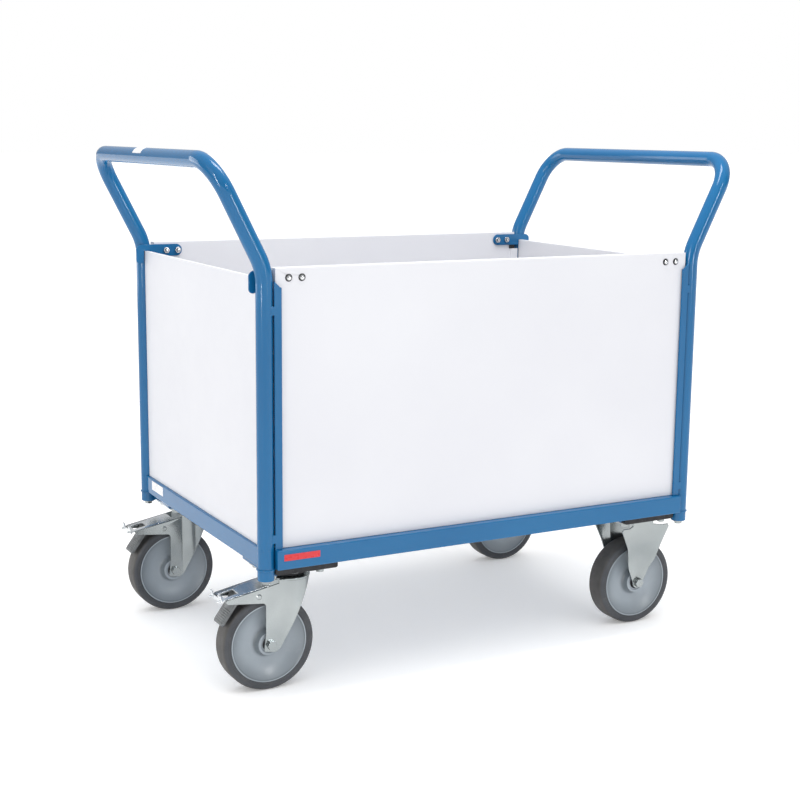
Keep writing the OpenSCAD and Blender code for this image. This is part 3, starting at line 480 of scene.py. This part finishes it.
def tab_welds():
    """Short beads where the tabs of the retaining strips meet the handle tubes."""
    bm = bmesh.new()
    tab = 5 * MM
    for low, high, part in loose_parts("retaining_strips"):
        side = 1 if low.y > 0 else -1
        end = 1 if low.x > 0 else -1
        tip = high.x if end > 0 else -low.x
        face = high.y if side > 0 else low.y
        levels = sorted({round(v.co.z, 4) for v in part.verts if abs(v.co.x) > tip - tab
                         and low.z + 5 * MM < v.co.z < high.z - 20 * MM})
        part.free()
        for z in levels:
            start = Vector((end * (tip - tab), face - side * 1.0 * MM, z))
            bead_rings(bm, line(start, start + Vector((end * tab, 0, 0))), 1.1 * MM)
    add_piece("tab_welds", bm, "base", "blue_paint", crease=WELD_CREASE)


# ---------- frame, boards and brackets ----------
FRAME_EDGES = {  # width of the rounded edge, in mm
    "deck_bearers": 1.2, "castor_channels": 0.5, "retaining_strips": 0.7, "end_lugs": 0.6,
    "corner_posts": 0.6, "side_hooks_front": 0.8, "side_hooks_rear": 0.8,
}
for rail in ("front_rail", "rear_rail", "left_rail", "right_rail"):
    soften(rail, 2.2 * MM, segments=3)
for name, width in FRAME_EDGES.items():
    soften(name, width * MM)
for name in ("side_board_front", "side_board_rear", "end_board_left", "end_board_right",
             "deck_board"):
    soften(name, 0.9 * MM, segments=3)
for name in ("handle_left", "handle_right"):
    finish_slot(name)

random.seed(7)
frame_welds()
tab_welds()


def channel_shade_blocks():
    """Black blocks of painted shade in the outer mouths of the castor channels, for the dark inside
    of the open channels; cut short by the corner posts.
    """
    proud, depth, play, corner, post_gap = 1.2 * MM, 14 * MM, 0.4 * MM, 5 * MM, 2.5 * MM
    post_x = min(abs(c.x) for pair in part_boxes("corner_posts") for c in pair)
    for number, (low, high) in enumerate(part_boxes("castor_channels")):
        middle = (low + high) / 2
        out = 1 if middle.y > 0 else -1
        end = 1 if middle.x > 0 else -1
        face = (high.y if out > 0 else low.y) + out * proud
        inner = min(abs(low.x), abs(high.x))
        x0, x1 = sorted((end * inner, end * (post_x - post_gap)))
        z0, z1 = low.z + play, high.z - play
        corners = [(x0, z0, 0), (x1, z0, 0), (x1, z1, 0), (x0, z1, 0)]
        outline = round_corners(corners, corner)
        bm = bmesh.new()
        front, back = [[bm.verts.new((p.x, y, p.y)) for p in outline]
                       for y in (face, face - out * depth)]
        bm.faces.new(front)
        bm.faces.new(back)
        join_rings(bm, front, back)
        # painted shade: a black block for the shadowed inside of the channel
        add_piece(f"channel_shade_block_{number}", bm, "base", "bearing_dark", SEAL_AND_SHADE_BLACK)


def black_blocks():
    """Small black blocks on the inner faces of the side boards, under the hook plates."""
    length, height, thick, inset, gap = 16 * MM, 9 * MM, 3 * MM, 10 * MM, 0.5 * MM
    board_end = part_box("side_board_front")[1].x
    hook_low = min(v.co.z for v in NODES["side_hooks_front"].data.vertices
                   if abs(v.co.x) < board_end)
    for name in ("front", "rear"):
        low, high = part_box(f"side_hooks_{name}")
        out = 1 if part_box(f"side_board_{name}")[1].y > 0 else -1
        wall = high.y if out > 0 else low.y
        for end, word in ((-1, "left"), (1, "right")):
            x0, x1 = sorted((end * (board_end - inset - length), end * (board_end - inset)))
            y0, y1 = sorted((wall, wall - out * thick))
            top = hook_low - gap
            bm = bmesh.new()
            slab(bm, Vector((x0, y0, top - height)), Vector((x1, y1, top)))
            piece = add_piece(f"black_block_{name}_{word}", bm, f"side_{name}", "tyre", SEAL_AND_SHADE_BLACK)
            edge = piece.modifiers.new("edges", "BEVEL")
            edge.width = 0.8 * MM
            edge.segments = 2


channel_shade_blocks()
black_blocks()


# ---------- bolts, screws and labels ----------
SCREW_RADIUS = 4.4 * MM
# Outline of a screw head: (radius, height against the top of the CAD screw).
SCREW_DOME = ((SCREW_RADIUS * 0.5, -0.15 * MM), (SCREW_RADIUS * 0.85, -0.6 * MM),
              (SCREW_RADIUS, -1.3 * MM))
# Black bars of painted shade that mark each head's cross slot: their length, width and depth, and
# how far under the top they sit.
CROSS_BAR = (SCREW_RADIUS * 1.1, SCREW_RADIUS * 0.22, 0.5 * MM)
CROSS_SUNK = 0.27 * MM


def screw_heads(node, axis_of):
    """Domed heads on the screws of a CAD node, each cross slot drawn as a black cross of painted
    shade; axis_of gives the way each one faces.
    """
    for number, (low, high) in enumerate(part_boxes(node)):
        axis = axis_of(low)
        top = Vector([high[i] if axis[i] > 0 else low[i] if axis[i] < 0 else (low[i] + high[i]) / 2
                      for i in range(3)])
        place = Matrix.Translation(top) @ axis.to_track_quat("Z", "Y").to_matrix().to_4x4()
        bm = bmesh.new()
        rings = [[bm.verts.new(place @ Vector((radius * c, radius * s, z)))
                  for c, s in unit_circle(32)] for radius, z in SCREW_DOME]
        bm.faces.new(rings[0])
        for here, there in zip(rings, rings[1:]):
            join_rings(bm, here, there)
        add_piece(f"{node}_head_{number}", bm, BODY[node], SLOT[node], BRIGHT, 60)
        # painted shade: two crossed black bars, set just under the top of the screw, stand for the
        # shadow in the cross slot
        bm = bmesh.new()
        for turn in (math.pi / 4, math.pi * 3 / 4):
            bar = bmesh.ops.create_cube(bm, size=1)["verts"]
            shape = Matrix.Rotation(turn, 4, "Z") @ Matrix.Diagonal((*CROSS_BAR, 1))
            sunk = Matrix.Translation((0, 0, -CROSS_SUNK))
            bmesh.ops.transform(bm, matrix=place @ sunk @ shape, verts=bar)
        add_piece(f"{node}_cross_{number}", bm, BODY[node], SLOT[node], SEAL_AND_SHADE_BLACK)


def plain_labels():
    """The labels, one piece each; the ones on the long rails are red, and none has any print."""
    for number, (low, high, part) in enumerate(loose_parts("labels")):
        on_long_rail = high.y - low.y < 1 * MM
        look = RED_FILM if on_long_rail else LOOKS["label_white"]
        piece = add_piece(f"label_{number}", part, "base", "label_white", look)
        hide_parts("labels")


for name in ("castor_bolts", "castor_nuts", "post_bolts"):
    soften(name, 0.6 * MM)
for side in ("front", "rear"):
    soften(f"side_bolts_{side}", 0.3 * MM, DOME, angle=50)
    soften(f"side_nuts_{side}", 0.6 * MM, BRIGHT)
for name in ("deck_screws", "lug_screws"):
    finish_slot(name)
screw_heads("deck_screws", lambda low: Vector((0, 0, 1)))
screw_heads("lug_screws", lambda low: Vector((1 if low.x < 0 else -1, 0, 0)))
plain_labels()


# ---------- castors ----------
WHEEL_STEPS = 128
SHOULDER = 8 * MM  # radius of the tyre's rounded shoulder
SHOULDER_DROP = 0.2 * MM  # the shoulder starts this far under the tread
GROOVE_IN = 11.8 * MM  # the moulded groove in the tyre's flank, in from the tread
# Outlines in mm, as (out from a radius, in from a face). The wheel function says from which.
GROOVE = ((0.8, 0.0), (0.4, 0.5), (-0.4, 0.5), (-0.8, 0.0))
TYRE_FOOT = ((1.6, 0.0), (0.6, 1.0), (0.0, 1.2))
RIM_LIP = ((0.0, 0.6), (-0.6, 0.0), (-2.8, 0.0), (-3.6, 1.0))
RIM_MOUTH = ((3.4, 3.6), (2.6, 4.6), (0.0, 4.6))
# The rim's boss in mm: (radius, along Y) for its slope, then (radius, in from the hub's end).
BOSS_SLOPE = ((34, 9.2), (29, 12.5), (26.2, 18.5))
BOSS_TOP = ((25, 4.2), (24, 3.6))
WEB_RADIUS = 39 * MM  # where the rim's bowl meets its web
WEB_HALF = 9.0 * MM  # half the thickness of the web
BOWL_STEPS = 16
PIN_RADIUS = 6.1 * MM


def wheel(prefix, side):
    """Tyre, rim, seal and inner race as smooth turned shapes inside the CAD ones."""
    tyre_low, tyre_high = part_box(f"{prefix}tyre_{side}")
    rim_low, rim_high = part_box(f"{prefix}rim_{side}")
    hub_low, hub_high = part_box(f"{prefix}bearing_{side}")
    centre = (tyre_low + tyre_high) / 2
    outer = (tyre_high.z - tyre_low.z) / 2
    seat = (rim_high.z - rim_low.z) / 2
    half = (tyre_high.y - tyre_low.y) / 2
    flange = half - 1 * MM
    bore = (hub_high.z - hub_low.z) / 2
    reach = (hub_high.y - hub_low.y) / 2
    body = BODY[f"{prefix}tyre_{side}"]

    def offsets(table, radius, face):
        return [(radius + r * MM, face - y * MM) for r, y in table]

    # tyre: a flat tread, rounded shoulders, a fine groove in the flank and a foot by the rim
    quarter = [(outer, 0.0), (outer, half * 0.52), (outer - 0.15 * MM, half * 0.60)]
    for k in range(1, 9):
        turn = math.pi / 2 * k / 8
        quarter.append((outer - SHOULDER_DROP - SHOULDER * (1 - math.cos(turn)),
                        half - SHOULDER * (1 - math.sin(turn))))
    quarter += offsets(GROOVE, outer - GROOVE_IN, half) + offsets(TYRE_FOOT, seat, half)
    tyre = lathe(f"{prefix}tyre_{side}_turned", mirrored(quarter)[:-1], centre, body, "tyre",
                 steps=WHEEL_STEPS, crease=50)
    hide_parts(f"{prefix}tyre_{side}")

    # rim: thin raised lip, one smooth bowl down to the web, stepped boss
    lip = offsets(RIM_LIP, seat, flange)
    bowl_radius, bowl_top = lip[-1]
    bowl = [(bowl_radius - (bowl_radius - WEB_RADIUS) * k / BOWL_STEPS,
             WEB_HALF + (bowl_top - WEB_HALF) * (1 - k / BOWL_STEPS) ** 2.2)
            for k in range(1, BOWL_STEPS + 1)]
    boss = [(r * MM, y * MM) for r, y in BOSS_SLOPE]
    boss += [(r * MM, reach - y * MM) for r, y in BOSS_TOP]
    mouth = offsets(RIM_MOUTH, bore, reach)
    rim = lathe(f"{prefix}rim_{side}_turned", mirrored(lip + bowl + boss + mouth), centre, body,
                "rim_grey", steps=WHEEL_STEPS, crease=40)
    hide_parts(f"{prefix}rim_{side}")

    # bearing: a dark seal and a bright inner race
    seal = [(bore, reach - 4.4 * MM), (bore - 1.2 * MM, reach - 3.2 * MM),
            (PIN_RADIUS + 3.6 * MM, reach - 3.0 * MM), (PIN_RADIUS + 3.4 * MM, reach - 3.6 * MM)]
    lathe(f"{prefix}seal_{side}", mirrored(seal), centre, body, "bearing_dark", SEAL_AND_SHADE_BLACK)
    race = [(PIN_RADIUS + 3.3 * MM, reach - 0.4 * MM), (PIN_RADIUS + 2.9 * MM, reach),
            (PIN_RADIUS + 0.4 * MM, reach), (PIN_RADIUS, reach - 0.4 * MM)]
    inner = lathe(f"{prefix}race_{side}", mirrored(race), centre, body, "bearing_dark", BRIGHT)
    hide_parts(f"{prefix}bearing_{side}")


def race_gap_shade_ring(side):
    """A thin dark ring of painted shade that closes the ball race under the top plate, for the
    shadow in the race gap.
    """
    low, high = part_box(f"ball_ring_{side}")
    centre = (low + high) / 2
    outer = (high.x - low.x) / 2 + 1.2 * MM
    inner = outer - 1 * MM
    bottom = low.z + 0.4 * MM
    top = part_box(f"swivel_plate_{side}")[0].z + 0.2 * MM
    outline = ((outer, bottom), (outer + 0.8 * MM, centre.z), (outer, top), (inner, top),
               (inner, bottom))
    bm = bmesh.new()
    rings = [[bm.verts.new((centre.x + r * c, centre.y + r * s, z)) for c, s in unit_circle(72)]
             for r, z in outline]
    for here, there in zip(rings, rings[1:] + rings[:1]):
        join_rings(bm, here, there)
    # painted shade: a black ring for the shadow in the race gap
    add_piece(f"race_gap_shade_ring_{side}", bm, "base", "bearing_dark", SEAL_AND_SHADE_BLACK, 60)


CASTOR_EDGES = {  # width of the rounded edge, in mm
    "swivel_plate_": 0.8, "fork_": 0.8, "axle_": 0.7, "brake_pin_": 0.3,
    "fixed_fork_": 0.8, "fixed_axle_": 0.7,
}
for side in SIDES:
    wheel("", side)
    wheel("fixed_", side)
    for name, width in CASTOR_EDGES.items():
        soften(name + side, width * MM)
    # the pedal takes the lighter zinc, painted light on its upward face
    soften(f"pedal_{side}", 0.6 * MM, PEDAL_LIT_ZINC)
    soften(f"brake_pad_{side}", 0.5 * MM)
    for name in ("ball_ring_", "king_bolt_"):
        finish_slot(name + side)
for side in SIDES:
    race_gap_shade_ring(side)


# ---------- studio ----------
EYE = (-1.610, -2.918, 1.132)
MIDDLE = (0, 0, 0.5)
# Soft boxes: name, place, aim, size, power, and whether it shows in reflections only.
SOFT_BOXES = (
    ("key", (-4.2, -1.6, 2.6), MIDDLE, (2.4, 2.4), 12, False),
    ("rear_left", (-3.2, 3.0, 1.3), (0, 0, 0.4), (2.4, 2.0), 40, True),
    ("fill", (2.0, -4.4, 2.0), MIDDLE, (2.6, 2.6), 12, False),
    ("strip_left", (-3.6, -2.4, 1.5), MIDDLE, (0.22, 2.4), 60, True),
    ("strip_front", (0.9, -4.2, 1.6), MIDDLE, (0.22, 2.4), 55, True),
    ("inside", (0.0, -0.35, 2.1), (0, 0.36, 0.6), (0.9, 0.4), 13, False),
)
SUN_RAY = (0.10, 0.12, -1.0)
# Stops of the studio's colour ramps: (position, colour).
SKY = ((0.0, (0.44, 0.45, 0.47)), (0.70, (1.0, 1.0, 1.0)))
CARD = ((0.72, (1, 1, 1)), (0.93, (0.28, 0.29, 0.31)))
CARD_WAY = (0.47, -0.87, 0.1)


def add_object(name, data):
    thing = bpy.data.objects.new(name, data)
    bpy.context.scene.collection.objects.link(thing)
    return thing


def aim_along(thing, way):
    thing.rotation_euler = Vector(way).to_track_quat("-Z", "Y").to_euler()


def make_camera():
    """The view of the picture: a long lens, a little above the boards, turned to the left end."""
    turn = math.radians(-28.5)
    pitch = math.radians(10.5)
    roll = math.radians(0.6)
    back = Vector((math.sin(turn) * math.cos(pitch), -math.cos(turn) * math.cos(pitch),
                   math.sin(pitch)))
    right = Vector((math.cos(turn), math.sin(turn), 0))
    up = back.cross(right)
    tilted_right = right * math.cos(roll) + up * math.sin(roll)
    tilted_up = up * math.cos(roll) - right * math.sin(roll)
    data = bpy.data.cameras.new("camera")
    data.sensor_width = 36
    data.lens = 65.4
    camera = add_object("camera", data)
    basis = Matrix((tilted_right, tilted_up, back)).transposed().to_4x4()
    camera.matrix_world = Matrix.Translation(EYE) @ basis
    bpy.context.scene.camera = camera


def make_floor():
    bm = bmesh.new()
    bmesh.ops.create_grid(bm, x_segments=8, y_segments=8, size=60)
    mesh = bpy.data.meshes.new("floor")
    bm.to_mesh(mesh)
    bm.free()
    mesh.materials.append(floor_paint())
    add_object("floor", mesh)


def make_sky():
    """A dome brighter overhead than at the horizon; reflections also see a dark card in front."""
    world = bpy.data.worlds.new("studio")
    world.use_nodes = True
    bpy.context.scene.world = world
    nodes, links = world.node_tree.nodes, world.node_tree.links

    def two_stops(stops):
        node = nodes.new("ShaderNodeValToRGB")
        for element, (position, colour) in zip(node.color_ramp.elements, stops):
            element.position = position
            element.color = (*colour, 1)
        return node

    way = nodes.new("ShaderNodeTexCoord").outputs["Generated"]
    path = nodes.new("ShaderNodeLightPath")

    height = nodes.new("ShaderNodeSeparateXYZ")
    links.new(way, height.inputs[0])
    sky = two_stops(SKY)
    links.new(height.outputs["Z"], sky.inputs["Fac"])

    toward = nodes.new("ShaderNodeVectorMath")
    toward.operation = "DOT_PRODUCT"
    toward.inputs[1].default_value = CARD_WAY
    links.new(way, toward.inputs[0])
    card = two_stops(CARD)
    links.new(toward.outputs["Value"], card.inputs["Fac"])

    carded = nodes.new("ShaderNodeMix")
    carded.data_type = "RGBA"
    carded.blend_type = "MULTIPLY"
    links.new(path.outputs["Is Glossy Ray"], carded.inputs["Factor"])
    links.new(sky.outputs["Color"], carded.inputs[6])
    links.new(card.outputs["Color"], carded.inputs[7])

    dome = nodes["Background"]
    dome.inputs["Strength"].default_value = 0.95
    links.new(carded.outputs[2], dome.inputs["Color"])

    # the camera itself sees plain white behind the trolley
    white = nodes.new("ShaderNodeBackground")
    white.inputs["Color"].default_value = (1, 1, 1, 1)
    white.inputs["Strength"].default_value = 1.0
    mixer = nodes.new("ShaderNodeMixShader")
    links.new(path.outputs["Is Camera Ray"], mixer.inputs["Fac"])
    links.new(dome.outputs[0], mixer.inputs[1])
    links.new(white.outputs[0], mixer.inputs[2])
    links.new(mixer.outputs[0], nodes["World Output"].inputs["Surface"])


def make_lights():
    """A wide soft sun from above, and soft boxes; some of these only show in reflections."""
    sun = bpy.data.lights.new("sun", "SUN")
    sun.energy = 1.2
    sun.angle = math.radians(70)
    lamp = add_object("sun", sun)
    lamp.visible_glossy = False
    aim_along(lamp, SUN_RAY)
    for name, place, aim, size, power, mirror_only in SOFT_BOXES:
        data = bpy.data.lights.new(name, "AREA")
        data.shape = "RECTANGLE"
        data.size, data.size_y = size
        data.energy = power
        lamp = add_object(name, data)
        lamp.location = place
        lamp.visible_diffuse = not mirror_only
        aim_along(lamp, Vector(aim) - Vector(place))


make_camera()
make_floor()
make_sky()
make_lights()
bpy.context.scene.view_settings.view_transform = "Standard"
